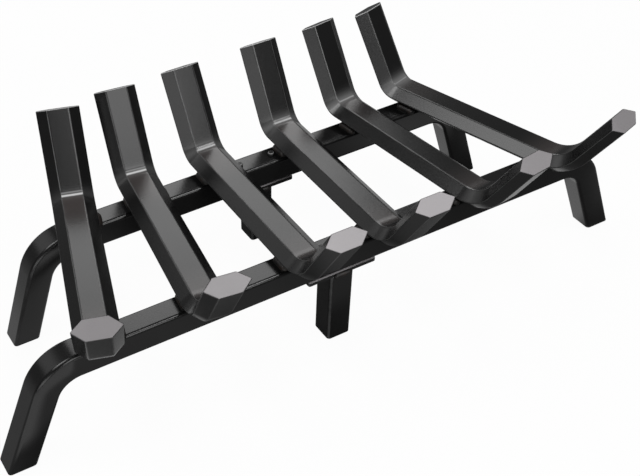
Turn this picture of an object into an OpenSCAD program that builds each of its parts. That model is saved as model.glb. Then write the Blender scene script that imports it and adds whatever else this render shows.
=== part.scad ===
// Log grate for an open fireplace. Six hexagonal bars with both ends bent up
// lie across two square rails and fan out towards the front. The rails' ends
// are bent down as splayed legs, and each rail has a bolted centre leg.
// X runs along the rails, Y towards the back of the hearth and Z up.
// The origin is on the floor, under the middle of the grate's width and depth.

/* [Rails and outer legs] */
// Side of the square bar of the rails
rail_size = 25.4; // [20:0.1:30]
// Radius on the long edges of the rail bar
rail_edge_radius = 3.5; // [1:0.1:6]
// Height of the rails' upper faces above the floor
rail_top = 110; // [95:1:140]
// Distance between the centre lines of the two rails
rail_spacing = 148.5; // [125:0.5:180]
// Radius of the bends into the legs, on the bar's centre line
leg_bend_radius = 38; // [28:1:44]
// Width over the front feet
front_width = 692; // [640:1:760]
// Width over the rear feet
rear_width = 565; // [530:1:620]
// Splay of the front legs from the vertical, in degrees
front_splay = 24.5; // [10:0.5:28]
// Splay of the rear legs from the vertical, in degrees
rear_splay = 20; // [10:0.5:28]

/* [Grate bars] */
// Width of a bar across its two side edges
bar_width = 42; // [36:0.5:46]
// Thickness of a bar between its upper and lower flats
bar_thickness = 18.2; // [14:0.1:22]
// Width of the upper and lower flats
bar_flat = 20.6; // [14:0.1:26]
// Radius on the long edges of a bar
bar_edge_radius = 1; // [0.4:0.1:2]
// Distance of the inner pair of bars from the middle, at the rear rail
inner_bar_offset = 44; // [40:0.5:50]
// Distance of the middle pair of bars from the middle, at the rear rail
middle_bar_offset = 123.5; // [116:0.5:130]
// Distance of the outer pair of bars from the middle, at the rear rail
outer_bar_offset = 194.5; // [190:0.5:205]
// Angle that the inner pair of bars fans out, in degrees
inner_bar_angle = 0; // [0:0.1:2]
// Angle that the middle pair of bars fans out, in degrees
middle_bar_angle = 7.6; // [5:0.1:10]
// Angle that the outer pair of bars fans out, in degrees
outer_bar_angle = 17.2; // [13:0.1:18]

/* [Bent ends of the bars] */
// Distance of the rear corner of a bar behind the rear rail's centre line
rear_overhang = 26.5; // [24:0.5:40]
// Length of the upright behind that corner
upright_length = 85.5; // [60:0.5:120]
// Lean of the upright backwards from the vertical, in degrees
upright_lean = 30.5; // [10:0.5:40]
// Radius of the bend into the upright, on the bar's centre line
rear_bend_radius = 20; // [14:0.5:27]
// Distance between the rear and front corners of a bar
corner_distance = 210.5; // [200:0.5:280]
// Length of the upturned front end beyond its corner
upturn_length = 79; // [60:0.5:100]
// Lean of the front end forwards from the vertical, in degrees
upturn_lean = 31.5; // [24:0.5:45]
// Radius of the bend into the front end, on the bar's centre line
front_bend_radius = 45; // [28:0.5:50]

/* [Centre legs] */
// Side of the square bar of the centre legs
leg_size = 25.4; // [20:0.1:30]
// Radius on the long edges of the centre legs
leg_edge_radius = 3.5; // [1:0.1:6]
// Gap between the rear centre leg and the floor
rear_leg_gap = 19.5; // [0:0.5:40]
// Length of the plate on top of a centre leg
plate_length = 73.5; // [66:0.5:90]
// Thickness of that plate
plate_thickness = 4; // [3:0.1:6]
// Radius on the corners of that plate
plate_corner_radius = 2; // [0.5:0.1:4]
// Size of the weld between a centre leg and its plate
leg_weld_size = 3; // [2:0.1:3.5]

/* [Bolts] */
// Distance between the two bolts of a centre leg
bolt_spacing = 36; // [36:0.5:46]
// Diameter of the bolts
bolt_diameter = 6.5; // [4:0.5:7]
// Width across flats of the bolt heads
bolt_head_width = 10; // [8:0.5:11]
// Height of the bolt heads
bolt_head_height = 4; // [3:0.1:6]
// Height of the bolt ends above the rails
bolt_stand_out = 3; // [0.5:0.1:6]
// Chamfer on the bolt ends
bolt_chamfer = 0.8; // [0.2:0.1:1.5]
// Gap all round a bolt in its hole
bolt_clearance = 0.15; // [0.1:0.05:0.4]

/* [Welds] */
// Radius of the rounded weld bead beside a bar
bead_radius = 8.4; // [7:0.1:9]
// Distance of the bead's centre line from the bar's centre line
bead_offset = 19; // [17:0.1:20]
// Length of a bead along its bar
bead_length = 21; // [18:0.5:23]
// Radius of the slim beads, which stay under the overhang of their bar
slim_bead_radius = 4.5; // [3:0.1:5]
// Distance of a slim bead's centre line from the bar's centre line
slim_bead_offset = 15.5; // [14:0.1:16]

/* [Hidden] */
// Overrun of every cutting shape beyond the face that it cuts
overrun = 1;
// Overlap of a bar's straight runs with its bends, so that they are one solid
run_lap = 0.002;
// Steps of the arcs on the long edges, and sides of a full circle
SQUARE_CORNER_STEPS = 6;
BAR_CORNER_STEPS = 2;
$fn = 96;
BOLT_HEAD_SIDES = 6;
// Bars with a full bead on their right side: the others have a bolt or a bend there
FULL_BEAD_BARS = [1, 2, 4, 5];

// Height of the rails' centre lines, and of the plates' and legs' upper ends
rail_axis_height = rail_top - rail_size / 2;
plate_top = rail_top - rail_size;
leg_top = plate_top - plate_thickness;
bolt_bottom = leg_top - bolt_head_height;

// How far the inner bars reach forwards and backwards from midway between the rails
front_overhang = corner_distance - rail_spacing - rear_overhang;
rear_reach = rail_spacing / 2 + rear_overhang + upright_length * sin(upright_lean)
    + bar_thickness / 2 * cos(upright_lean);
front_reach = rail_spacing / 2 + front_overhang + upturn_length * sin(upturn_lean)
    + bar_thickness / 2 * cos(upturn_lean);
// Midway between the rails, and each rail's centre line, measured from the origin
depth_shift = (front_reach - rear_reach) / 2;
front_rail_y = depth_shift - rail_spacing / 2;
rear_rail_y = depth_shift + rail_spacing / 2;

// Place of each bar on the rear rail and its turn about that place, from left to right
BARS = [
    [-outer_bar_offset, -outer_bar_angle],
    [-middle_bar_offset, -middle_bar_angle],
    [-inner_bar_offset, -inner_bar_angle],
    [inner_bar_offset, inner_bar_angle],
    [middle_bar_offset, middle_bar_angle],
    [outer_bar_offset, outer_bar_angle]
];

STEEL_COLOUR = [0.16, 0.16, 0.17];
WELD_COLOUR = [0.2, 0.19, 0.19];
BOLT_COLOUR = [0.11, 0.11, 0.12];

// The points of an arc that rounds one corner of an outline that runs anticlockwise
function corner_arc(before, corner, after, radius, steps) =
    let (
        way_in = (corner - before) / norm(corner - before),
        way_out = (after - corner) / norm(after - corner),
        turn = acos(way_in * way_out),
        inwards = (way_out - way_in) / norm(way_out - way_in),
        centre = corner + inwards * radius / cos(turn / 2),
        first = atan2(-way_in[0], way_in[1])
    )
    [
        for (step = [0:steps])
            let (angle = first + turn * step / steps)
                centre + radius * [cos(angle), sin(angle)]
    ];

// An outline with every corner rounded
function rounded(points, radius, steps) =
    let (count = len(points))
    [
        for (i = [0:count - 1])
            each corner_arc(
                points[(i + count - 1) % count], points[i], points[(i + 1) % count], radius, steps
            )
    ];

module rounded_rectangle(width, depth, radius) {
    polygon(rounded([
        [width / 2, depth / 2],
        [-width / 2, depth / 2],
        [-width / 2, -depth / 2],
        [width / 2, -depth / 2]
    ], radius, SQUARE_CORNER_STEPS));
}

// The bars' flattened hexagon: thickness along X and width along Y
module bar_section() {
    half_flat = bar_flat / 2;
    half_width = bar_width / 2;
    half_thickness = bar_thickness / 2;
    polygon(rounded([
        [0, half_width],
        [-half_thickness, half_flat],
        [-half_thickness, -half_flat],
        [0, -half_width],
        [half_thickness, -half_flat],
        [half_thickness, half_flat]
    ], bar_edge_radius, BAR_CORNER_STEPS));
}

// A bend that starts upwards at the origin and turns by an angle towards +X.
// Its section, the child, is alike on both sides.
module bend(radius, angle) {
    translate([radius, 0, 0])
        rotate([90, 0, 180])
            rotate_extrude(angle = angle) translate([radius, 0]) children();
}

// A bar of one section that sets off upwards from the origin: runs[0], a turn towards
// +X about its own centre, runs[1] and so on
module bent_bar(runs, radii, turns, i = 0) {
    lead = i > 0 ? run_lap : 0;
    tail = i < len(turns) ? run_lap : 0;
    translate([0, 0, -lead]) linear_extrude(lead + runs[i] + tail) children();
    if (i < len(turns))
        translate([radii[i], 0, runs[i]]) {
            translate([-radii[i], 0, 0]) bend(radii[i], turns[i]) children();
            rotate([0, turns[i], 0])
                translate([-radii[i], 0, 0])
                    bent_bar(runs, radii, turns, i + 1) children();
        }
}

// Part of a run that a bend takes up at its corner
function bend_setback(radius, angle) = radius * tan(angle / 2);

// Puts what belongs to bar number n, counted from the left, over the rear rail,
// with its lengthwise direction along Y and the rails' upper faces at Z = 0
module at_bar(n) {
    translate([BARS[n - 1][0], rear_rail_y, rail_top]) rotate([0, 0, BARS[n - 1][1]]) children();
}

module bar(n) {
    rear_turn = 90 - upright_lean;
    front_turn = 90 - upturn_lean;
    rear_setback = bend_setback(rear_bend_radius, rear_turn);
    front_setback = bend_setback(front_bend_radius, front_turn);
    runs = [
        upright_length - rear_setback,
        corner_distance - rear_setback - front_setback,
        upturn_length - front_setback
    ];
    upright_end = [
        0,
        rear_overhang + upright_length * sin(upright_lean),
        bar_thickness / 2 + upright_length * cos(upright_lean)
    ];
    color(STEEL_COLOUR)
        at_bar(n)
            translate(upright_end)
                rotate([0, 180, 90])
                    rotate([0, upright_lean, 0])
                        bent_bar(runs, [rear_bend_radius, front_bend_radius], [rear_turn, front_turn])
                            bar_section();
}

// Distance along bar n from the rear rail's centre line to the front rail's
function rail_crossing(n) = rail_spacing / cos(BARS[n - 1][1]);

// A bead fills the groove between a bar's lower side face and the rail, and bulges
// out of it: a rod with round ends, cut to the groove
module bead(radius, offset_from_bar) {
    half_rod = bead_length / 2 - radius;
    groove_mouth = offset_from_bar + radius + overrun;
    intersection() {
        translate([offset_from_bar, 0, 0]) {
            rotate([90, 0, 0]) cylinder(h = 2 * half_rod, r = radius, center = true);
            for (end = [-1, 1]) translate([0, end * half_rod, 0]) sphere(radius);
        }
        rotate([90, 0, 0])
            linear_extrude(bead_length + 2 * overrun, center = true)
                polygon([
                    [bar_flat / 2, 0],
                    [bar_width / 2, bar_thickness / 2],
                    [max(groove_mouth, bar_width / 2 + overrun), bar_thickness / 2],
                    [max(groove_mouth, bar_width / 2 + overrun), 0]
                ]);
    }
}

// The four beads of one bar: one on each side, at each rail. Those on the left are slim.
module bar_welds(n) {
    color(WELD_COLOUR)
        at_bar(n)
            for (along = [0, -rail_crossing(n)], side = [-1, 1])
                translate([0, along, 0])
                    mirror([(1 - side) / 2, 0, 0])
                        if (side > 0 && len(search(n, FULL_BEAD_BARS)) > 0)
                            bead(bead_radius, bead_offset);
                        else
                            bead(slim_bead_radius, slim_bead_offset);
}

// A rail with its two legs, whose feet are cut flat at the floor
module rail(width, splay) {
    turn = 90 - splay;
    foot_x = (width - rail_size / cos(splay)) / 2;
    leg_run = (rail_axis_height - leg_bend_radius * (1 - sin(splay))) / cos(splay);
    leg_reach = leg_run * sin(splay) + leg_bend_radius * cos(splay);
    // Extra length of each leg below the floor, so that the cut takes its whole end
    foot_waste = rail_size / 2 * tan(splay) + overrun;
    color(STEEL_COLOUR)
        difference() {
            translate([-foot_x, 0, 0])
                rotate([0, splay, 0])
                    translate([0, 0, -foot_waste])
                        bent_bar(
                            [leg_run + foot_waste, 2 * (foot_x - leg_reach), leg_run + foot_waste],
                            [leg_bend_radius, leg_bend_radius],
                            [turn, turn]
                        )
                            rounded_rectangle(rail_size, rail_size, rail_edge_radius);
            waste_width = width + 2 * rail_size;
            translate([-waste_width / 2, -rail_size, -rail_size])
                cube([waste_width, 2 * rail_size, rail_size]);
            bolt_holes(plate_top, rail_size);
        }
}

// Two upright holes, cut through a piece of the given height
module bolt_holes(bottom, height) {
    for (side = [-1, 1])
        translate([side * bolt_spacing / 2, 0, bottom - overrun])
            cylinder(h = height + 2 * overrun, r = bolt_diameter / 2 + bolt_clearance);
}

module centre_leg(gap) {
    color(STEEL_COLOUR)
        translate([0, 0, gap])
            linear_extrude(leg_top - gap) rounded_rectangle(leg_size, leg_size, leg_edge_radius);
}

module leg_plate() {
    color(STEEL_COLOUR)
        difference() {
            translate([0, 0, leg_top])
                linear_extrude(plate_thickness)
                    rounded_rectangle(plate_length, rail_size, plate_corner_radius);
            bolt_holes(leg_top, plate_thickness);
        }
}

// A fillet of weld along each of the two wide sides of a leg's upper end
module leg_weld() {
    seam = leg_size - 2 * leg_edge_radius;
    color(WELD_COLOUR)
        for (side = [-1, 1])
            rotate([0, 0, side * 90])
                translate([0, 0, leg_top])
                    rotate([90, 0, 0])
                        linear_extrude(seam, center = true)
                            polygon([
                                [leg_size / 2, 0],
                                [leg_size / 2 + leg_weld_size, 0],
                                [leg_size / 2, -leg_weld_size]
                            ]);
}

// Hexagon bolts that come up through the plate and the rail
module leg_bolts() {
    shank_radius = bolt_diameter / 2;
    bolt_top = rail_top + bolt_stand_out;
    color(BOLT_COLOUR)
        for (side = [-1, 1])
            translate([side * bolt_spacing / 2, 0, 0]) {
                translate([0, 0, bolt_bottom])
                    rotate([0, 0, 180 / BOLT_HEAD_SIDES])
                        cylinder(
                            h = bolt_head_height,
                            r = bolt_head_width / 2 / cos(180 / BOLT_HEAD_SIDES),
                            $fn = BOLT_HEAD_SIDES
                        );
                translate([0, 0, bolt_bottom])
                    cylinder(h = bolt_top - bolt_chamfer - bolt_bottom, r = shank_radius);
                translate([0, 0, bolt_top - bolt_chamfer])
                    cylinder(h = bolt_chamfer, r1 = shank_radius, r2 = shank_radius - bolt_chamfer);
            }
}

module at_front_rail() { translate([0, front_rail_y, 0]) children(); }
module at_rear_rail() { translate([0, rear_rail_y, 0]) children(); }

bar(1);  // bar_1
bar(2);  // bar_2
bar(3);  // bar_3
bar(4);  // bar_4
bar(5);  // bar_5
bar(6);  // bar_6
bar_welds(1);  // bar_1_welds
bar_welds(2);  // bar_2_welds
bar_welds(3);  // bar_3_welds
bar_welds(4);  // bar_4_welds
bar_welds(5);  // bar_5_welds
bar_welds(6);  // bar_6_welds
at_front_rail() rail(front_width, front_splay);  // front_rail
at_rear_rail() rail(rear_width, rear_splay);  // rear_rail
at_front_rail() centre_leg(0);  // front_centre_leg
at_rear_rail() centre_leg(rear_leg_gap);  // rear_centre_leg
at_front_rail() leg_plate();  // front_leg_plate
at_rear_rail() leg_plate();  // rear_leg_plate
at_front_rail() leg_weld();  // front_leg_weld
at_rear_rail() leg_weld();  // rear_leg_weld
at_front_rail() leg_bolts();  // front_leg_bolts
at_rear_rail() leg_bolts();  // rear_leg_bolts
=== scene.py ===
"""Satin black log grate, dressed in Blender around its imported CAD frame.

X runs along the rails, Y towards the back of the hearth and Z up, in metres.
The origin is on the floor, under the middle of the grate's width and depth.
"""
import bpy
import numpy as np
from mathutils import Matrix, Vector


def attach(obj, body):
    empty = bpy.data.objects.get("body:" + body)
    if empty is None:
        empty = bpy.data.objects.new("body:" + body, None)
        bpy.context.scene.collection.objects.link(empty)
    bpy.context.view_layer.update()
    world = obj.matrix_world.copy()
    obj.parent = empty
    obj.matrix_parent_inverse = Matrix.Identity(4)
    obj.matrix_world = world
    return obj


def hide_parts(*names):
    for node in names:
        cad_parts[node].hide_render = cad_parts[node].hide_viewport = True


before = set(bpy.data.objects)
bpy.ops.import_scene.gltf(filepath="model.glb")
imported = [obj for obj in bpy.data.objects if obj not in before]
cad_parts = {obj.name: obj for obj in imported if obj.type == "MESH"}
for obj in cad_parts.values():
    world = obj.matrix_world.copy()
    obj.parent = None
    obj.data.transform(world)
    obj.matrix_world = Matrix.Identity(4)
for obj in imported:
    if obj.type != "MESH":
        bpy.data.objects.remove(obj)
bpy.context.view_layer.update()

MM = 0.001

# Rails and outer legs, as in the part's source
RAIL_SIZE = 25.4 * MM
RAIL_EDGE_RADIUS = 3.5 * MM
RAIL_TOP = 110 * MM
RAIL_SPACING = 148.5 * MM
LEG_BEND_RADIUS = 38 * MM
FRONT_WIDTH = 692 * MM
REAR_WIDTH = 565 * MM
FRONT_SPLAY = np.radians(24.5)
REAR_SPLAY = np.radians(20)
FRONT_RAIL_Y = -70.8494 * MM
REAR_RAIL_Y = FRONT_RAIL_Y + RAIL_SPACING

# Grate bars
BAR_WIDTH = 42 * MM
BAR_THICKNESS = 18.2 * MM
BAR_FLAT = 20.6 * MM
BAR_EDGE_RADIUS = 1.0 * MM
REAR_OVERHANG = 26.5 * MM
UPRIGHT_LENGTH = 85.5 * MM
UPRIGHT_LEAN = np.radians(30.5)
REAR_BEND_RADIUS = 20 * MM
CORNER_DISTANCE = 210.5 * MM
UPTURN_LENGTH = 79 * MM
UPTURN_LEAN = np.radians(31.5)
FRONT_BEND_RADIUS = 45 * MM
# Place of each bar on the rear rail and its turn about that place, from left to right
BARS = {
    1: (-194.5 * MM, np.radians(-17.2)),
    2: (-123.5 * MM, np.radians(-7.6)),
    3: (-44 * MM, 0.0),
    4: (44 * MM, 0.0),
    5: (123.5 * MM, np.radians(7.6)),
    6: (194.5 * MM, np.radians(17.2)),
}

# Centre legs and their plates
LEG_SIZE = 25.4 * MM
LEG_EDGE_RADIUS = 3.5 * MM
REAR_LEG_GAP = 19.5 * MM
PLATE_LENGTH = 73.5 * MM
PLATE_THICKNESS = 4 * MM
PLATE_CORNER_RADIUS = 2 * MM
PLATE_TOP = RAIL_TOP - RAIL_SIZE
LEG_TOP = PLATE_TOP - PLATE_THICKNESS
# Each rail's width over the feet, splay and place, and the gap under its centre leg
RAILS = {
    "front": (FRONT_WIDTH, FRONT_SPLAY, FRONT_RAIL_Y, 0.0),
    "rear": (REAR_WIDTH, REAR_SPLAY, REAR_RAIL_Y, REAR_LEG_GAP),
}

# Bolts
BOLT_SPACING = 36 * MM
BOLT_DIAMETER = 6.5 * MM
BOLT_HEAD_WIDTH = 10 * MM
BOLT_HEAD_HEIGHT = 4 * MM
BOLT_STAND_OUT = 3 * MM
BOLT_CHAMFER = 0.8 * MM
THREAD_START = 3 * MM
THREAD_DEPTH = 0.28 * MM
THREAD_PITCH = 1.0 * MM
# Rings of the head from below: height in mm, share of the half width, hexagon share
BOLT_HEAD_RINGS = np.array([
    (0.00, 0.90, 0.0),
    (0.15, 0.93, 0.0),
    (0.60, 0.99, 0.6),
    (0.90, 1.00, 1.0),
    (3.40, 1.00, 1.0),
    (3.80, 1.00, 0.8),
    (4.00, 0.97, 0.5),
    (4.00, BOLT_DIAMETER / BOLT_HEAD_WIDTH, 0.0),
])
# Rings of the tip: height above the threads and distance inside the radius, in mm
BOLT_TIP_RINGS = np.array([(0.0, 0.1), (0.45, 0.35), (0.75, 0.75), (0.8, 1.2)])
# The two rings of the tip that are rubbed
RUBBED_TIP = slice(-3, -1)

# Weld beads and fillets
BEAD_OFFSET = 19 * MM
BEAD_LENGTH = 21 * MM
SLIM_BEAD_RADIUS = 4.5 * MM
SLIM_BEAD_OFFSET = 15.5 * MM
# The full beads, a little slimmer than the solids that they lie in
BEAD_SKIN_RADIUS = 6.6 * MM
BEAD_SKIN_OFFSET = 17.5 * MM
# The fillets of the centre legs, slimmer in the same way
LEG_WELD_SIZE = 3 * MM
FILLET_SKIN_RADIUS = 0.95 * LEG_WELD_SIZE
# Bars with a full bead on their right side: the others have a bolt or a bend there
FULL_BEAD_BARS = (1, 2, 4, 5)
# A bead's mean size, how much it sways, how fast along its length and how a seed turns it
BEAD_MEAN = 0.98
BEAD_SWAY = 0.018
BEAD_SWAY_RATE = 420
BEAD_SEED_TURN = 1.7
# Share of its length that a bead fills, so that its end rings stay open
BEAD_FILL = 0.999

# Small roundings that only the finish shows
CUT_EDGE = 0.9 * MM
PLATE_EDGE = 0.5 * MM
FLAT_EDGE_RADIUS = 3.2 * MM
# How far the rails' paths run on past the floor, before the feet are cut
FOOT_SPARE = 3 * MM
# Bow of the rails' faces: its slope, its rise past a bend's start and with height
BOW_OF_BEND = 0.35
BOW_RISE = (0, 14 * MM)
BOW_HEIGHTS = (4 * MM, 44 * MM)

# Fineness of the meshes
STATION_STEP = 3 * MM
BEND_STEPS = 28
CUT_STEPS = 5
PRISM_STEPS = 12
HEXAGON_ARC_STEPS = 8
RECTANGLE_ARC_STEPS = 10
BEAD_RINGS = 61
BEAD_SIDES = 40
THREAD_RINGS = 90
BOLT_HEAD_SIDES = 60
BOLT_SHANK_SIDES = 40
BOLT_SHARP_ANGLE = np.radians(35)

# Marks of wear and heat, and painted highlights and shade
# Strength of each bar's brown bloom and painted highlight lines at its rear bend
REAR_BLOOM_AND_HIGHLIGHT = {1: 1.0, 2: 1.0, 3: 0.8, 4: 0.8, 5: 0.5, 6: 0.4}
# How bare the sawn front end of each bar is, lower on the outer bars as painted shade, and the coated
# rear end of every bar
CUT_PALENESS_AND_SHADE = {1: 0.62, 2: 0.72, 3: 0.91, 4: 0.98, 5: 0.73, 6: 0.64}
REAR_PALENESS = 1 / 64
# Power of the tilt's sine that gives the bareness over an end's rounded edge
CUT_FALL = 6
# Strength of the rails' edge mark: worn edges that also carry a painted highlight
RAIL_WEAR_AND_HIGHLIGHT = 0.55
HEAT_REACH = 16 * MM
# Brown bloom: distances from the corner of a bend at which it is gone and full, strengths
REAR_BLOOM_REACH = (70 * MM, 18 * MM)
FRONT_BLOOM_REACH = (60 * MM, 8 * MM)
REAR_BLOOM = 0.75
FRONT_BLOOM = 0.65
# Painted highlight lines in the rear bend: degrees past its middle, half width in degrees, strength
CREASE_HIGHLIGHT_LINES = ((-3, 10, 1.0), (12, 8, 0.35))
CREASE_HIGHLIGHT_REACH = (28 * MM, 14 * MM)
# Faint painted highlight patches beside the bends: strength, at the rear for each step of the bar's
# number
REAR_HIGHLIGHT_PATCH = 0.04
REAR_HIGHLIGHT_PATCH_WIDTH = 6 * MM
FRONT_HIGHLIGHT_PATCH = 0.07
FRONT_HIGHLIGHT_PATCH_WIDTH = 9 * MM
# Cosines of a normal to a direction: on a flat, turned towards it, and not on the top flat
ON_FLAT = (0.9, 0.98)
TURNED_TO = (0.3, 0.6)
BESIDE_FLAT = (0.85, 0.75)


# Meshes
def outline_of(corners, radius, steps):
    """A closed anticlockwise outline with each corner replaced by an arc.

    The arc's centre is radius / cos(turn / 2) inwards of the corner, and its points
    are centre + radius * (cos, sin) of evenly spaced angles. The radius is one number
    or one for each corner. Returns the points, the outward unit normals and how far
    each point is round its corner: 0 where the arc meets a flat and 1 in its middle.
    """
    points = np.asarray(corners, float)
    way_in = points - np.roll(points, 1, axis=0)
    way_in /= np.linalg.norm(way_in, axis=1)[:, None]
    way_out = np.roll(way_in, -1, axis=0)
    turn = np.arccos(np.sum(way_in * way_out, axis=1))
    inwards = way_out - way_in
    inwards /= np.linalg.norm(inwards, axis=1)[:, None]
    radius = np.broadcast_to(radius, turn.shape)
    centre = points + inwards * (radius / np.cos(turn / 2))[:, None]
    first = np.arctan2(-way_in[:, 0], way_in[:, 1])
    share = np.linspace(0, 1, steps + 1)
    angle = first[:, None] + turn[:, None] * share
    normals = np.stack([np.cos(angle), np.sin(angle)], axis=-1)
    rounded = centre[:, None] + radius[:, None, None] * normals
    edge = np.broadcast_to(np.sin(np.pi * share), angle.shape)
    return rounded.reshape(-1, 2), normals.reshape(-1, 2), edge.reshape(-1)


def hexagon_outline():
    """The bars' flattened hexagon: width along the first axis, thickness along the second."""
    side = BAR_WIDTH / 2
    flat = BAR_FLAT / 2
    half = BAR_THICKNESS / 2
    corners = [(side, 0), (flat, half), (-flat, half), (-side, 0), (-flat, -half), (flat, -half)]
    radii = [BAR_EDGE_RADIUS, FLAT_EDGE_RADIUS, FLAT_EDGE_RADIUS] * 2
    return outline_of(corners, radii, HEXAGON_ARC_STEPS)


def rectangle_outline(width, depth, radius):
    """A rectangle from its upper right corner on, with one radius for all corners."""
    x = width / 2
    y = depth / 2
    return outline_of([(x, y), (-x, y), (-x, -y), (x, -y)], radius, RECTANGLE_ARC_STEPS)


def rounded_path(corners, radii):
    """Places and unit directions along a flat path whose corners are arcs.

    An arc starts radius * tan(turn / 2) before its corner. At angle a along it the
    place is centre - radius * inwards * cos(a) + radius * way * sin(a), and the
    direction is way * cos(a) + inwards * sin(a).
    """
    corners = np.asarray(corners, float)
    legs = np.diff(corners, axis=0)
    ways = legs / np.linalg.norm(legs, axis=1)[:, None]
    places = []
    directions = []
    start = corners[0]
    for way, after, corner, radius in zip(ways, ways[1:], corners[1:], radii):
        bend = np.arctan2(way[0] * after[1] - way[1] * after[0], way @ after)
        inwards = np.sign(bend) * np.array([-way[1], way[0]])
        arc_start = corner - way * radius * np.tan(abs(bend) / 2)
        count = max(2, int(np.linalg.norm(arc_start - start) / STATION_STEP))
        run = np.linspace(start, arc_start, count, endpoint=False)
        # A later run starts where the last arc ended, and that place is there already
        if places:
            run = run[1:]
        angle = np.linspace(0, abs(bend), BEND_STEPS)[:, None]
        centre = arc_start + radius * inwards
        places += [run, centre - radius * inwards * np.cos(angle) + radius * way * np.sin(angle)]
        directions += [np.tile(way, (len(run), 1)), way * np.cos(angle) + inwards * np.sin(angle)]
        start = places[-1][-1]
    count = max(2, int(np.linalg.norm(corners[-1] - start) / STATION_STEP))
    places.append(np.linspace(start, corners[-1], count + 1)[1:])
    directions.append(np.tile(ways[-1], (count, 1)))
    return np.concatenate(places), np.concatenate(directions)


def soft_step(value, low, high):
    """0 at low and 1 at high and beyond them, with 3 t ** 2 - 2 t ** 3 between them."""
    t = np.clip((value - low) / (high - low), 0, 1)
    return t * t * (3 - 2 * t)


def cut_angles():
    """Angles of the rings that round an end face, from the side towards the face."""
    return np.linspace(0, np.pi / 2, CUT_STEPS + 1)[1:]


def carried_rings(outline, places, across, upwards, ahead, inset, tilt):
    """Points and normals of an outline carried along a path, one ring for each place.

    A point is place + across * a + upwards * b, where (a, b) is the outline's point
    drawn in along its normal by the inset. Its normal is the outline's normal times
    cos(tilt) plus the direction ahead times sin(tilt).
    """
    points, normals, _ = outline
    inner = points[None] - normals[None] * inset[:, None, None]
    ring = places[:, None] + across[:, None] * inner[..., :1] + upwards[:, None] * inner[..., 1:]
    out = across[:, None] * normals[None, :, :1] + upwards[:, None] * normals[None, :, 1:]
    out = out * np.cos(tilt)[:, None, None] + (ahead * np.sin(tilt)[:, None])[:, None]
    return ring, out


def tube_faces(rings, count):
    """Quads between neighbouring rings, and one face over each end."""
    ring = np.arange(rings - 1)[:, None] * count
    here = np.arange(count)[None]
    after = np.roll(here, -1, axis=1)
    quads = np.stack([ring + here, ring + after, ring + count + after, ring + count + here], axis=-1)
    first = np.arange(count)[::-1]
    last = (rings - 1) * count + np.arange(count)
    return quads.reshape(-1, 4).tolist() + [first.tolist(), last.tolist()]


def solid_mesh(name, points, faces, normals=None, marks=None):
    """A smooth mesh object with its place in its mesh, its normals and its named marks."""
    mesh = bpy.data.meshes.new(name)
    mesh.from_pydata(points.reshape(-1, 3).tolist(), [], faces)
    mesh.polygons.foreach_set("use_smooth", np.ones(len(mesh.polygons), bool))
    for mark, values in (marks or {}).items():
        layer = mesh.attributes.new(mark, "FLOAT", "POINT")
        layer.data.foreach_set("value", np.ascontiguousarray(values, dtype=np.float32).reshape(-1))
    mesh.update()
    if normals is not None:
        lengths = np.linalg.norm(normals, axis=-1, keepdims=True)
        mesh.normals_split_custom_set_from_vertices((normals / lengths).reshape(-1, 3).tolist())
    piece = bpy.data.objects.new(name, mesh)
    bpy.context.scene.collection.objects.link(piece)
    return piece


def plane_path(places, directions, origin, first_axis, second_axis):
    """A flat path's places, and its across, upwards and ahead directions, in space."""
    axes = np.array([first_axis, second_axis], float)
    spots = np.asarray(origin) + places @ axes
    ahead = directions @ axes
    upwards = np.stack([-directions[:, 1], directions[:, 0]], axis=1) @ axes
    across = np.tile(-np.cross(axes[0], axes[1]), (len(spots), 1))
    return spots, across, upwards, ahead


def swept_bar(name, outline, path, paleness, marks_for):
    """A bar whose outline is carried along a path, with its end edges rounded.

    Beyond each end of the path, rings at angle a stand CUT_EDGE * sin(a) further on and
    are drawn in by CUT_EDGE * (1 - cos(a)). The front end is sawn metal of the given
    paleness, which is lower on the outer bars as painted shade, with the mark
    paleness * sin(a) ** CUT_FALL. The rear end is coated, with a painted highlight of
    sin(2 * a) round its edge.
    """
    places, across, upwards, ahead = path
    angles = cut_angles()
    reach = CUT_EDGE * np.sin(angles)[:, None]
    drawn = CUT_EDGE * (1 - np.cos(angles))
    head = places[0] - ahead[0] * reach[::-1]
    tail = places[-1] + ahead[-1] * reach
    spots = np.concatenate([head, places, tail])
    steps = len(angles)
    padded = [np.concatenate([np.repeat(v[:1], steps, 0), v, np.repeat(v[-1:], steps, 0)])
              for v in (across, upwards, ahead)]
    inset = np.concatenate([drawn[::-1], np.zeros(len(places)), drawn])
    tilt = np.concatenate([-angles[::-1], np.zeros(len(places)), angles])
    points, normals = carried_rings(outline, spots, *padded, inset, tilt)
    faces = tube_faces(len(points), points.shape[1])
    around = np.ones(points.shape[1])
    # Bare sawn front end, lower on the outer bars as painted shade
    bareness = np.where(tilt > 0, paleness, REAR_PALENESS) * np.sin(tilt) ** CUT_FALL
    # Painted highlight round the coated rear end's edge
    rim_highlight = np.sin(2 * np.maximum(-tilt, 0))[:, None] * around
    edge = np.maximum(outline[2][None] * np.ones((len(points), 1)), rim_highlight)
    marks = {"edge": edge, "cut": bareness[:, None] * around, "rim_highlight": rim_highlight, "heat": near_welds(points)}
    marks.update(marks_for(points, normals))
    return solid_mesh(name, points, faces, normals, marks)


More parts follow.
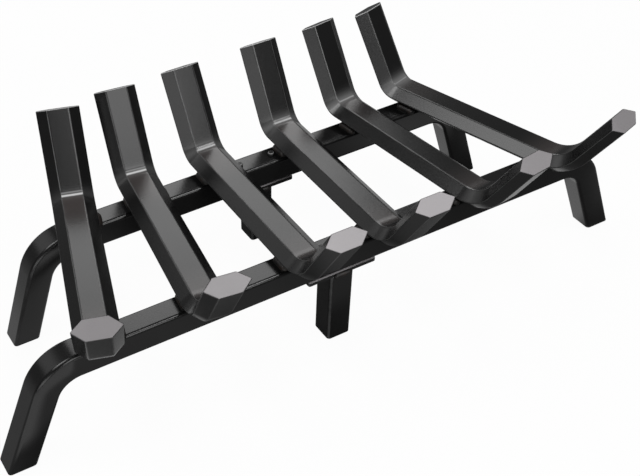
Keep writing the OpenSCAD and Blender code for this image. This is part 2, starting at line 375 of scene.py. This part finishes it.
def near_welds(points):
    """Heat mark: 1 beside a weld, fading over 16 mm with distance from the weld's line."""
    heat = np.zeros(points.shape[:-1])
    for place, turn in BARS.values():
        lengthwise = np.array([-np.sin(turn), np.cos(turn)])
        sideways = np.array([np.cos(turn), np.sin(turn)])
        for rail_y in (REAR_RAIL_Y, FRONT_RAIL_Y):
            along = (REAR_RAIL_Y - rail_y) / np.cos(turn)
            centre = np.array([place, REAR_RAIL_Y]) - lengthwise * along
            offset = points[..., :2] - centre
            out = np.abs(np.abs(offset @ sideways) - BEAD_OFFSET)
            beyond = np.maximum(np.abs(offset @ lengthwise) - BEAD_LENGTH / 2, 0)
            up = np.abs(points[..., 2] - RAIL_TOP)
            distance = np.sqrt(out ** 2 + beyond ** 2 + up ** 2)
            heat = np.maximum(heat, np.clip(1 - distance / HEAT_REACH, 0, 1))
    return heat


def turned_axes(angle, forward, upward):
    """Forward and upward components, seen from axes that are turned up by the angle."""
    return (np.cos(angle) * forward + np.sin(angle) * upward,
            np.cos(angle) * upward - np.sin(angle) * forward)


def grate_bar(number):
    """Hexagon bar with both ends bent up, swept along a path in the bar's upright plane.

    The path has two arcs: a tight one up into the upright at the rear and a wide one up
    into the upturn at the front. It starts and ends CUT_EDGE short of the bar's ends.
    """
    place, turn = BARS[number]
    rise = BAR_THICKNESS / 2
    upright = np.array([np.sin(UPRIGHT_LEAN), np.cos(UPRIGHT_LEAN)])
    upturn = np.array([-np.sin(UPTURN_LEAN), np.cos(UPTURN_LEAN)])
    rear_corner = np.array([REAR_OVERHANG, rise])
    front_corner = np.array([REAR_OVERHANG - CORNER_DISTANCE, rise])
    corners = [
        rear_corner + upright * (UPRIGHT_LENGTH - CUT_EDGE),
        rear_corner,
        front_corner,
        front_corner + upturn * (UPTURN_LENGTH - CUT_EDGE),
    ]
    places, directions = rounded_path(corners, [REAR_BEND_RADIUS, FRONT_BEND_RADIUS])
    lengthwise = (-np.sin(turn), np.cos(turn), 0)
    path = plane_path(places, directions, (place, REAR_RAIL_Y, RAIL_TOP), lengthwise, (0, 0, 1))
    half_rear = (np.pi / 2 - UPRIGHT_LEAN) / 2
    half_front = (np.pi / 2 - UPTURN_LEAN) / 2

    def bar_marks(points, normals):
        """Brown bloom, and painted highlight lines and patches, of the bar.

        The bloom is on the upper flat. It is full up to 18 mm from the rear bend's corner
        and gone at 70 mm, and at the front full up to 8 mm and gone at 60 mm. Two painted
        highlight lines lie inside the rear bend: a bright one where the normal is 3 degrees
        before the one that halves the bend, and a faint one 12 degrees after it. On the
        side faces each bend has a faint painted highlight patch, exp(-(t / w) ** 2) at
        distance t from the plane that halves the bend, with w = 6 mm at the rear and 9 mm
        at the front.
        """
        along = (points - np.array([place, REAR_RAIL_Y, 0])) @ np.array(lengthwise)
        above = points[..., 2] - RAIL_TOP - rise
        from_rear = along - REAR_OVERHANG
        from_front = from_rear + CORNER_DISTANCE
        rear = REAR_BLOOM * REAR_BLOOM_AND_HIGHLIGHT[number] * soft_step(np.abs(from_rear), *REAR_BLOOM_REACH)
        front = FRONT_BLOOM * soft_step(np.abs(from_front), *FRONT_BLOOM_REACH)
        bloom = soft_step(normals[..., 2], *ON_FLAT) * np.maximum(rear, front)
        forward = normals @ np.array(lengthwise)
        leaning, facing = turned_axes(half_rear, forward, normals[..., 2])
        angle = np.degrees(np.arctan2(-leaning, facing))
        # Painted highlight lines inside the rear bend, set by the normal's angle
        lines = sum(strength * soft_step(np.abs(angle - middle), half_width, 0)
                    for middle, half_width, strength in CREASE_HIGHLIGHT_LINES)
        on_flat = soft_step(np.hypot(leaning, facing), *ON_FLAT)
        crease_highlight = on_flat * lines * soft_step(np.abs(from_rear), *CREASE_HIGHLIGHT_REACH)
        # Painted highlight patches on the side faces beside each bend
        beside, _ = turned_axes(half_rear, from_rear, above)
        rear_highlight_patch = REAR_HIGHLIGHT_PATCH * number * np.exp(-(beside / REAR_HIGHLIGHT_PATCH_WIDTH) ** 2)
        rear_highlight_patch = rear_highlight_patch * soft_step(facing, *TURNED_TO)
        before, _ = turned_axes(-half_front, from_front, above)
        _, facing = turned_axes(-half_front, forward, normals[..., 2])
        sides = soft_step(facing, *TURNED_TO) * soft_step(facing, *BESIDE_FLAT)
        front_highlight_patch = FRONT_HIGHLIGHT_PATCH * np.exp(-(before / FRONT_HIGHLIGHT_PATCH_WIDTH) ** 2) * sides
        patch = np.maximum(rear_highlight_patch, front_highlight_patch)
        # This mark carries the painted highlight lines and patches
        return {"bloom": bloom, "crease_highlight": np.maximum(REAR_BLOOM_AND_HIGHLIGHT[number] * crease_highlight, patch)}

    return swept_bar(f"hexagon_bar_{number}", hexagon_outline(), path, CUT_PALENESS_AND_SHADE[number], bar_marks)


def rail(name, width, splay, rail_y):
    """Square bar bent down at both ends into splayed legs, whose feet are cut flat.

    Bending bows the front and rear faces: at their outer edge the normal leans outwards
    of the bend by atan(BOW_OF_BEND). The lean sets in over the first 14 mm of width past
    the start of the bend, and fades out down the leg between 44 mm and 4 mm of height.
    The rings of a foot at angle a are slid along the leg to the height
    CUT_EDGE * (1 - sin(a)) and drawn in by CUT_EDGE * (1 - cos(a)).
    """
    axis_height = RAIL_TOP - RAIL_SIZE / 2
    foot_x = (width - RAIL_SIZE / np.cos(splay)) / 2
    corner_x = foot_x - axis_height * np.tan(splay)
    way_down = np.array([np.sin(splay), -np.cos(splay)])
    spare = RAIL_SIZE / 2 * np.tan(splay) + FOOT_SPARE
    left_foot = np.array([-foot_x, 0]) - way_down * [-1, 1] * spare
    right_foot = np.array([foot_x, 0]) - way_down * spare
    corners = [left_foot, (-corner_x, axis_height), (corner_x, axis_height), right_foot]
    places, directions = rounded_path(corners, [LEG_BEND_RADIUS] * 2)
    path = plane_path(places, directions, (0, rail_y, 0), (1, 0, 0), (0, 0, 1))
    outline = rectangle_outline(RAIL_SIZE, RAIL_SIZE, RAIL_EDGE_RADIUS)
    level = np.zeros(len(places))
    points, normals = carried_rings(outline, *path, level, level)
    reach = np.abs(places[:, 0]) - corner_x + LEG_BEND_RADIUS * np.tan((np.pi / 2 - splay) / 2)
    bowed = soft_step(reach, *BOW_RISE) * soft_step(places[:, 1], *BOW_HEIGHTS)
    outer_half = np.einsum("spk,sk->sp", points - path[0][:, None], path[2]) > 0
    lean = BOW_OF_BEND * np.abs(normals[..., 1]) * outer_half * bowed[:, None]
    normals += lean[..., None] * path[2][:, None]
    angles = np.concatenate([[0], cut_angles()])
    tilt = angles[:, None, None]
    drawn = CUT_EDGE * (1 - np.cos(angles))
    heights = CUT_EDGE * (1 - np.sin(angles))
    feet = []
    for end, order in ((0, slice(None, None, -1)), (-1, slice(None))):
        held = [np.repeat(v[end][None], len(angles), 0) for v in path]
        ring, out = carried_rings(outline, *held, drawn, np.zeros(len(angles)))
        ahead = path[3][end]
        slide = (heights[:, None] - ring[..., 2]) / ahead[2]
        ring = ring + ahead * slide[..., None]
        out = out * np.cos(tilt) + np.array([0, 0, -1]) * np.sin(tilt)
        feet.append((ring[order], out[order]))
    points = np.concatenate([feet[0][0], points, feet[1][0]])
    normals = np.concatenate([feet[0][1], normals, feet[1][1]])
    cut = np.sin(np.concatenate([angles[::-1], level, angles]))[:, None] * np.ones(points.shape[1])
    edge = outline[2][None] * np.ones((len(points), 1))
    # Worn edges and feet, which also carry a painted edge highlight
    edge = RAIL_WEAR_AND_HIGHLIGHT * np.maximum(edge, np.sin(np.pi * cut))
    marks = {"edge": edge, "cut": cut ** CUT_FALL, "heat": near_welds(points)}
    return solid_mesh(name, points, tube_faces(len(points), points.shape[1]), normals, marks)


def upright_prism(name, outline, rail_y, bottom, top, rounding):
    """An outline carried straight up from bottom to top, with both end edges rounded.

    Rings at angle a stand rounding * (1 - sin(a)) inside an end and are drawn in by
    rounding * (1 - cos(a)).
    """
    angles = cut_angles()
    drawn = rounding * (1 - np.cos(angles))
    low = bottom + rounding * (1 - np.sin(angles))[::-1]
    high = top - rounding * (1 - np.sin(angles))
    side = np.linspace(bottom + rounding, top - rounding, PRISM_STEPS)
    heights = np.concatenate([low, side, high])
    inset = np.concatenate([drawn[::-1], np.zeros(PRISM_STEPS), drawn])
    tilt = np.concatenate([-angles[::-1], np.zeros(PRISM_STEPS), angles])
    places = np.stack([0 * heights, rail_y + 0 * heights, heights], axis=1)
    held = [np.tile(v, (len(heights), 1)) for v in ((1.0, 0, 0), (0, 1.0, 0), (0, 0, 1.0))]
    points, normals = carried_rings(outline, places, *held, inset, tilt)
    ends = np.abs(np.sin(tilt))[:, None] * np.ones(points.shape[1])
    edge = np.maximum(outline[2][None] * np.ones((len(points), 1)), np.sin(2 * np.abs(tilt))[:, None])
    marks = {"edge": edge, "cut": ends ** CUT_FALL, "heat": 0 * edge}
    return solid_mesh(name, points, tube_faces(len(points), points.shape[1]), normals, marks)


def bead_surface(length, radius, seed):
    """Points of one weld bead about its own middle, along its second axis.

    A round rod with rounded ends: where it is a share b of the radius beyond the rod's
    straight part, its radius is sqrt(1 - b ** 2) of the full one. The bead is smooth, as
    coated weld metal is: at distance s along it and angle a round it, its radius is
    BEAD_MEAN + BEAD_SWAY * sin(BEAD_SWAY_RATE * s + seed) * cos(2 * a + turned seed)
    of that.
    """
    share = np.linspace(-1, 1, BEAD_RINGS)[:, None]
    around = np.linspace(0, 2 * np.pi, BEAD_SIDES, endpoint=False)[None]
    along = length / 2 * np.sin(share * np.pi / 2) * BEAD_FILL
    straight = length / 2 - radius
    beyond = np.clip(np.abs(along) - straight, 0, radius) / radius
    girth = radius * np.sqrt(1 - beyond ** 2)
    sway = np.sin(along * BEAD_SWAY_RATE + seed) * np.cos(around * 2 + seed * BEAD_SEED_TURN)
    size = girth * (BEAD_MEAN + BEAD_SWAY * sway)
    x = size * np.cos(around)
    z = size * np.sin(around)
    y = np.broadcast_to(along, x.shape)
    return np.stack([x, y, z], axis=-1)


def joined_solids(name, parts, marks=None):
    """One object from several tube grids, each closed at both ends."""
    points = []
    faces = []
    start = 0
    for part in parts:
        points.append(part.reshape(-1, 3))
        faces += [[start + i for i in face] for face in tube_faces(*part.shape[:2])]
        start += len(points[-1])
    return solid_mesh(name, np.concatenate(points), faces, None, marks)


def bar_welds(number):
    """Four smooth beads of one bar: one on each side, at each rail.

    Each bead sways with a seed of its own, and a left bead is turned half round.
    """
    place, turn = BARS[number]
    lengthwise = np.array([-np.sin(turn), np.cos(turn), 0])
    sideways = np.array([np.cos(turn), np.sin(turn), 0])
    beads = []
    for along in (0, -RAIL_SPACING / np.cos(turn)):
        for side in (-1, 1):
            full = side > 0 and number in FULL_BEAD_BARS
            radius = BEAD_SKIN_RADIUS if full else SLIM_BEAD_RADIUS
            offset = BEAD_SKIN_OFFSET if full else SLIM_BEAD_OFFSET
            local = bead_surface(BEAD_LENGTH, radius, number * 4 + side + along * 10)
            centre = np.array([place, REAR_RAIL_Y, RAIL_TOP]) + lengthwise * along
            centre = centre + sideways * side * offset
            x, y, z = local[..., :1], local[..., 1:2], local[..., 2:]
            if side < 0:
                x = -x
                y = -y
            beads.append(centre + x * sideways + y * lengthwise + z * np.array([0, 0, 1]))
    return joined_solids(f"weld_beads_{number}", [bead[:, ::-1] for bead in beads])


def leg_weld(name, rail_y):
    """Smooth fillets along the two wide sides of a leg's upper end.

    They are rods like the beads, each with a seed of its own.
    """
    length = LEG_SIZE - 2 * LEG_EDGE_RADIUS
    fillets = []
    for side in (-1, 1):
        local = bead_surface(length, FILLET_SKIN_RADIUS, side * 3 + rail_y * 50)
        centre = np.array([0, rail_y + side * LEG_SIZE / 2, LEG_TOP])
        fillets.append(centre + local[..., [1, 0, 2]])
    return joined_solids(name, fillets)


def turned_rings(heights, radii, centre, sides, hexagon=0.0):
    """Rings of points about an upright axis.

    A hexagon share of 1 draws a ring's points out from the circle to the hexagon round
    it, by 1 / cos of the angle from the nearest flat.
    """
    angle = np.linspace(0, 2 * np.pi, sides, endpoint=False)[None]
    radii = np.asarray(radii)[:, None]
    from_flat = (angle + np.pi / 6) % (np.pi / 3) - np.pi / 6
    share = np.broadcast_to(np.asarray(hexagon), radii.shape[:1])[:, None]
    size = radii * (1 - share + share / np.cos(from_flat))
    x = centre[0] + size * np.cos(angle)
    y = centre[1] + size * np.sin(angle)
    z = np.broadcast_to(np.asarray(heights)[:, None], x.shape)
    return np.stack([x, y, z], axis=-1)


def leg_bolts(name, rail_y):
    """Two hexagon bolts: chamfered head below the plate, threaded end above the rail.

    At height z the threads are radius - THREAD_DEPTH * (0.5 + 0.5 * cos(2 pi z / pitch)),
    and the rubbed rings of the tip are marked as edges.
    """
    head_bottom = LEG_TOP - BOLT_HEAD_HEIGHT
    thread_top = RAIL_TOP + BOLT_STAND_OUT - BOLT_CHAMFER
    radius = BOLT_DIAMETER / 2
    head_heights = head_bottom + BOLT_HEAD_RINGS[:, 0] * MM
    head_radii = BOLT_HEAD_WIDTH / 2 * BOLT_HEAD_RINGS[:, 1]
    thread = np.linspace(head_bottom + THREAD_START, thread_top, THREAD_RINGS)
    depth = THREAD_DEPTH * (0.5 + 0.5 * np.cos(2 * np.pi * thread / THREAD_PITCH))
    heights = np.concatenate([thread, thread_top + BOLT_TIP_RINGS[:, 0] * MM])
    radii = np.concatenate([radius - depth, radius - BOLT_TIP_RINGS[:, 1] * MM])
    parts = []
    edges = []
    for side in (-1, 1):
        centre = (side * BOLT_SPACING / 2, rail_y)
        head = turned_rings(head_heights, head_radii, centre, BOLT_HEAD_SIDES, BOLT_HEAD_RINGS[:, 2])
        shank = turned_rings(heights, radii, centre, BOLT_SHANK_SIDES)
        rubbed = np.zeros(shank.shape[:2])
        rubbed[RUBBED_TIP] = 1
        parts += [head, shank]
        edges += [np.zeros(head.shape[:2]).reshape(-1), rubbed.reshape(-1)]
    bolts = joined_solids(name, parts, {"edge": np.concatenate(edges)})
    bolts.data.set_sharp_from_angle(angle=BOLT_SHARP_ANGLE)
    return bolts


# Materials
class Wire:
    """One output of a shader node, so that shader maths reads as plain expressions."""

    def __init__(self, tree, socket):
        self.tree = tree
        self.socket = socket

    def maths(self, operation, *values):
        """A Math node on this wire and other wires or numbers."""
        return self.tree.node("ShaderNodeMath", {"operation": operation}, *values)

    def __add__(self, other):
        return self.maths("ADD", self, other)

    def __sub__(self, other):
        return self.maths("SUBTRACT", self, other)

    def __rsub__(self, other):
        return self.maths("SUBTRACT", other, self)

    def __mul__(self, other):
        return self.maths("MULTIPLY", self, other)

    __radd__ = __add__
    __rmul__ = __mul__

    def limited(self, low, high):
        """0 at low and 1 at high and beyond them, with a smooth rise between them."""
        settings = {"interpolation_type": "SMOOTHSTEP"}
        return self.tree.node("ShaderNodeMapRange", settings, self, low, high)


class Tree:
    """The node tree of one new material or world."""

    def __init__(self, owner):
        owner.use_nodes = True
        self.owner = owner
        self.nodes = owner.node_tree.nodes
        self.links = owner.node_tree.links
        self.nodes.clear()

    def node(self, kind, settings=None, *values, output=0, **named):
        """A node of one kind: its settings, then the values or links of its sockets.

        Values go to the first sockets in order, and None leaves a socket as it is.
        """
        node = self.nodes.new(kind)
        for key, value in (settings or {}).items():
            setattr(node, key, value)
        for key, value in list(enumerate(values)) + list(named.items()):
            if isinstance(key, str):
                key = key.replace("_", " ")
            if isinstance(value, Wire):
                self.links.new(value.socket, node.inputs[key])
            elif value is not None:
                node.inputs[key].default_value = value
        return Wire(self, node.outputs[output]) if len(node.outputs) else None

    def place(self):
        """The place on the object, in metres."""
        return self.node("ShaderNodeTexCoord", output="Object")

    def mark(self, name):
        """A named mark of the mesh."""
        return self.node("ShaderNodeAttribute", {"attribute_name": name}, output="Fac")

    def noise(self, scale, detail, roughness=0.5):
        """Cloudy noise between 0 and 1, with so many lumps a metre."""
        return self.node("ShaderNodeTexNoise", None, Vector=self.place(), Scale=scale,
                         Detail=detail, Roughness=roughness)

    def blend(self, share, first, second):
        """A colour between two colours, by the Mix node's colour sockets 6 and 7."""
        skipped = [None] * 5
        return self.node("ShaderNodeMix", {"data_type": "RGBA"}, share, *skipped, first, second, output=2)

    def bump(self, height, distance, strength):
        """A normal from a height between 0 and 1, over a distance in metres."""
        return self.node("ShaderNodeBump", None, Strength=strength, Distance=distance, Height=height)

    def surface(self, **sockets):
        """Puts a Principled shader on the output and returns the material."""
        shader = self.node("ShaderNodeBsdfPrincipled", None, **sockets)
        self.node("ShaderNodeOutputMaterial", None, shader)
        return self.owner


def grey(level):
    """A grey of one linear level."""
    return (level, level, level, 1.0)


# Linear colours
SCORCH_BROWN = (0.030, 0.020, 0.015, 1.0)
BLOOM_BROWN = (0.112, 0.097, 0.094, 1.0)
SAWN_DARK = (0.42, 0.40, 0.41, 1.0)
SAWN_PALE = (0.53, 0.505, 0.52, 1.0)
WELD_BROWN = (0.020, 0.013, 0.010, 1.0)
COATING_BLACK = grey(0.0035)
COATING_CLOUD = grey(0.006)
COATING_PATCH = grey(0.010)
# Painted highlight greys: lines in the rear bends, worn edges that also carry a painted highlight, and
# the rear ends' edges
CREASE_HIGHLIGHT_GREY = grey(0.8)
WORN_AND_HIGHLIGHT_GREY = grey(0.12)
RIM_HIGHLIGHT_GREY = grey(0.6)
WELD_BLACK = grey(0.006)
BOLT_BLACK = grey(0.016)
BOLT_PATCH = grey(0.05)
BOLT_WORN = grey(0.3)


def satin_black():
    """Black stove coating on steel: fine orange peel, faint mottling, thin worn edges that also carry a
    painted highlight, painted highlights in the rear bends and round the rear ends, and painted shade on
    the outer bars' sawn ends.
    """
    tree = Tree(bpy.data.materials.new("satin_black_coating"))
    cloud = tree.noise(scale=9.0, detail=4.0)
    patch = tree.noise(scale=60.0, detail=5.0, roughness=0.6)
    peel = tree.noise(scale=900.0, detail=2.0)
    grit = tree.noise(scale=3200.0, detail=2.0)
    cut = tree.mark("cut")
    base = tree.blend(cloud.limited(0.35, 0.7), COATING_BLACK, COATING_CLOUD)
    base = tree.blend(patch.limited(0.55, 0.8) * 0.5, base, COATING_PATCH)
    scorch = (tree.mark("heat") * (0.6 + patch * 0.8)).limited(0.2, 0.95)
    base = tree.blend(scorch * 0.75, base, SCORCH_BROWN)
    bloom = tree.mark("bloom") * (0.4 + cloud * 0.8)
    base = tree.blend(bloom * 0.8, base, BLOOM_BROWN)
    # Painted highlight: the bright lines in the rear bends and the patches beside the bends
    crease_highlight = tree.mark("crease_highlight") * (0.8 + patch * 0.3)
    base = tree.blend(crease_highlight, base, CREASE_HIGHLIGHT_GREY)
    # Worn edges, which also carry a painted edge highlight
    wear_and_highlight = (tree.mark("edge") * (0.35 + patch * 0.9)).limited(0.4, 0.8)
    base = tree.blend(wear_and_highlight * 0.6, base, WORN_AND_HIGHLIGHT_GREY)
    # Bare sawn ends, darker on the outer bars as painted shade
    sawn = tree.blend(grit, SAWN_DARK, SAWN_PALE)
    base = tree.blend(cut * 0.95, base, sawn)
    # Painted highlight round the coated rear ends' edges
    base = tree.blend(tree.mark("rim_highlight") * 0.8, base, RIM_HIGHLIGHT_GREY)
    rough = 0.18 + cloud * 0.04 + grit * 0.03 + scorch * 0.1 - wear_and_highlight * 0.02 + cut * 0.2
    relief = tree.bump(peel + grit * 0.5, distance=0.00003, strength=0.4)
    return tree.surface(Base_Color=base, Roughness=rough, Normal=relief, IOR=1.5, Metallic=0.0)


def weld_black():
    """Coated weld metal: brown and black in patches, rougher than the bars."""
    tree = Tree(bpy.data.materials.new("coated_weld"))
    patch = tree.noise(scale=180.0, detail=4.0, roughness=0.6)
    fine = tree.noise(scale=1500.0, detail=3.0)
    base = tree.blend(patch.limited(0.35, 0.7), WELD_BLACK, WELD_BROWN)
    rough = 0.38 + fine * 0.14
    relief = tree.bump(patch * 0.6 + fine * 0.4, distance=0.00008, strength=0.5)
    return tree.surface(Base_Color=base, Roughness=rough, Normal=relief, IOR=1.5, Metallic=0.0)


def bolt_black():
    """Black-oxide bolt steel under the same coating, rubbed on its high spots."""
    tree = Tree(bpy.data.materials.new("black_bolt_steel"))
    patch = tree.noise(scale=400.0, detail=4.0, roughness=0.6)
    base = tree.blend(patch.limited(0.4, 0.75), BOLT_BLACK, BOLT_PATCH)
    base = tree.blend(tree.mark("edge") * 0.8, base, BOLT_WORN)
    rough = 0.34 + patch * 0.2
    relief = tree.bump(patch, distance=0.00008, strength=0.5)
    return tree.surface(Base_Color=base, Roughness=rough, Normal=relief, IOR=1.6, Metallic=0.35)


def dress(piece, material, node):
    """Gives a piece its finish and its body, and hides the CAD node that it stands for."""
    piece.data.materials.append(material)
    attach(piece, "root")
    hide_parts(node)


def build_grate():
    """All pieces of the grate: bars with their beads, rails, then legs, plates and bolts."""
    steel = satin_black()
    weld = weld_black()
    bolt = bolt_black()
    for number in BARS:
        dress(grate_bar(number), steel, f"bar_{number}")
        dress(bar_welds(number), weld, f"bar_{number}_welds")
    for end, (width, splay, rail_y, _) in RAILS.items():
        dress(rail(f"{end}_rail_bar", width, splay, rail_y), steel, f"{end}_rail")
    leg = rectangle_outline(LEG_SIZE, LEG_SIZE, LEG_EDGE_RADIUS)
    plate = rectangle_outline(PLATE_LENGTH, RAIL_SIZE, PLATE_CORNER_RADIUS)
    for end, (_, _, rail_y, gap) in RAILS.items():
        post = upright_prism(f"{end}_leg_post", leg, rail_y, gap, LEG_TOP, CUT_EDGE)
        dress(post, steel, f"{end}_centre_leg")
        slab = upright_prism(f"{end}_plate_slab", plate, rail_y, LEG_TOP, PLATE_TOP, PLATE_EDGE)
        dress(slab, steel, f"{end}_leg_plate")
        dress(leg_weld(f"{end}_leg_fillets", rail_y), weld, f"{end}_leg_weld")
        dress(leg_bolts(f"{end}_bolt_pair", rail_y), bolt, f"{end}_leg_bolts")


# Camera, from the fit to the photo: degrees, metres and pixels of the 640 x 476 frame
CAMERA_PLACE = (-0.44076, -0.69738, 0.74923)
CAMERA_AZIMUTH = np.radians(27.0028)
CAMERA_ELEVATION = np.radians(46.3058)
CAMERA_ROLL = np.radians(-2.6785)
FOCAL_PIXELS = 1075.7578
CENTRE_PIXEL = (224.0971, 363.8287)
FRAME_PIXELS = (640, 476)
SENSOR_WIDTH = 36
CLIP_START = 0.01


def direction(compass, height):
    """The direction at a compass angle from the back and an angle above the floor."""
    level = np.cos(height)
    return Vector((level * np.sin(compass), level * np.cos(compass), np.sin(height)))


def set_camera():
    """The photo's view. The photo is cropped off centre, so the camera is shifted."""
    ahead = direction(CAMERA_AZIMUTH, -CAMERA_ELEVATION)
    level = Vector((np.cos(CAMERA_AZIMUTH), -np.sin(CAMERA_AZIMUTH), 0))
    upright = level.cross(ahead)
    right = level * np.cos(CAMERA_ROLL) + upright * np.sin(CAMERA_ROLL)
    up = upright * np.cos(CAMERA_ROLL) - level * np.sin(CAMERA_ROLL)
    camera = bpy.data.cameras.new("camera")
    camera.sensor_width = SENSOR_WIDTH
    camera.lens = FOCAL_PIXELS / FRAME_PIXELS[0] * SENSOR_WIDTH
    camera.shift_x = (FRAME_PIXELS[0] / 2 - CENTRE_PIXEL[0]) / FRAME_PIXELS[0]
    camera.shift_y = (CENTRE_PIXEL[1] - FRAME_PIXELS[1] / 2) / FRAME_PIXELS[0]
    camera.clip_start = CLIP_START
    viewer = bpy.data.objects.new("camera", camera)
    turn = Matrix((right, up, -ahead)).transposed().to_4x4()
    viewer.matrix_world = Matrix.Translation(CAMERA_PLACE) @ turn
    bpy.context.scene.collection.objects.link(viewer)
    bpy.context.scene.camera = viewer


# Lamps: compass angle from the back and height in degrees, width and depth in m, power in W
LAMPS = {
    "overhead_left": (286, 61, 1.0, 0.95, 13),
    "back": (20, 38, 1.2, 1.0, 10),
    "front": (177, 35, 1.5, 0.9, 14),
    "low_left": (236, 14, 1.6, 0.7, 6),
    "low_front": (190, 12, 1.2, 0.5, 2),
    "low_back_left": (325, 30, 1.2, 0.8, 2),
    "small_overhead": (138, 64, 0.6, 0.6, 9),
}
LAMP_DISTANCE = 2.2
LAMP_AIM = (0, 0, 0.08)
# Strength of the backdrop as a light. The camera sees it at full strength
BACKDROP_LIGHT = 0.15


def softbox(name, compass, height, width, depth, power):
    """A soft lamp at LAMP_DISTANCE from the grate's middle, facing it."""
    towards = direction(np.radians(compass), np.radians(height))
    lamp = bpy.data.lights.new(name, "AREA")
    lamp.shape = "RECTANGLE"
    lamp.size = width
    lamp.size_y = depth
    lamp.energy = power
    box = bpy.data.objects.new(name, lamp)
    box.location = Vector(LAMP_AIM) + towards * LAMP_DISTANCE
    box.rotation_euler = (-towards).to_track_quat("-Z", "Y").to_euler()
    bpy.context.scene.collection.objects.link(box)


def light_stage():
    """A backdrop that is white to the camera and dim as a light, and the softboxes."""
    tree = Tree(bpy.data.worlds.new("studio"))
    camera_ray = tree.node("ShaderNodeLightPath", output="Is Camera Ray")
    strength = BACKDROP_LIGHT + camera_ray * (1 - BACKDROP_LIGHT)
    backdrop = tree.node("ShaderNodeBackground", None, Color=grey(1.0), Strength=strength)
    tree.node("ShaderNodeOutputWorld", None, backdrop)
    bpy.context.scene.world = tree.owner
    for name, settings in LAMPS.items():
        softbox(name, *settings)


# Floor
FLOOR_HALF = 6.0
FLOOR_DARK = grey(0.14)
FLOOR_PALE = grey(0.95)
# How much of the camera's view of the floor is plain white: the rest takes shadows
FLOOR_WHITE = 0.96
# Paleness of the floor in the grate's reflections, with no area and in each soft area.
# An area is the product of its steps along X or Y, from 0 at the first place to 1 at
# the second, in metres
FLOOR_LEAST = 0.015
FLOOR_AREAS = (
    # In front, and more to the left
    (0.26, ("X", 0.3, -0.2), ("Y", -0.11, -0.14)),
    # On the right: a band by the front rail, and all behind the rear rail
    (0.5, ("X", 0.1, 0.26), ("X", 0.35, 0.33), ("Y", -0.09, -0.06), ("Y", 0.0, -0.03)),
    (0.5, ("X", 0.1, 0.26), ("X", 0.35, 0.33), ("Y", 0.08, 0.1)),
    # On the left: outside the front left foot, in front of it, under the bars, and beyond
    (0.95, ("X", -0.30, -0.36), ("Y", -0.10, -0.14)),
    (0.95, ("X", -0.15, -0.22), ("Y", -0.2, -0.26)),
    (0.45, ("X", -0.08, -0.2), ("X", -0.36, -0.3), ("Y", -0.08, -0.03)),
    (0.16, ("X", -0.3, -0.36)),
)


def floor():
    """One flat square, white to the camera apart from a faint shadow.

    In the grate's reflections it is dark, with the soft pale areas of FLOOR_AREAS,
    because the photo's black faces don't mirror a floor that is white all over.
    """
    corners = FLOOR_HALF * np.array([(-1, -1, 0), (1, -1, 0), (1, 1, 0), (-1, 1, 0)])
    ground = solid_mesh("floor", corners, [[0, 1, 2, 3]])
    tree = Tree(bpy.data.materials.new("pale_floor"))
    dark = tree.node("ShaderNodeBsdfDiffuse", None, Color=FLOOR_DARK)
    pale = tree.node("ShaderNodeBsdfDiffuse", None, Color=FLOOR_PALE)
    white = tree.node("ShaderNodeEmission", None, Color=grey(1.0), Strength=1.0)
    camera_ray = tree.node("ShaderNodeLightPath", output="Is Camera Ray")
    glossy_ray = tree.node("ShaderNodeLightPath", output="Is Glossy Ray")
    where = {axis: tree.node("ShaderNodeSeparateXYZ", None, tree.place(), output=axis) for axis in "XY"}
    paleness = FLOOR_LEAST
    for area, *steps in FLOOR_AREAS:
        for axis, low, high in steps:
            area = area * where[axis].limited(low, high)
        paleness = paleness + area
    seen = tree.node("ShaderNodeMixShader", None, FLOOR_WHITE, pale, white)
    unseen = tree.node("ShaderNodeMixShader", None, glossy_ray * paleness, dark, white)
    both = tree.node("ShaderNodeMixShader", None, camera_ray, unseen, seen)
    tree.node("ShaderNodeOutputMaterial", None, both)
    ground.data.materials.append(tree.owner)


build_grate()
set_camera()
light_stage()
floor()
bpy.context.scene.view_settings.view_transform = "Standard"
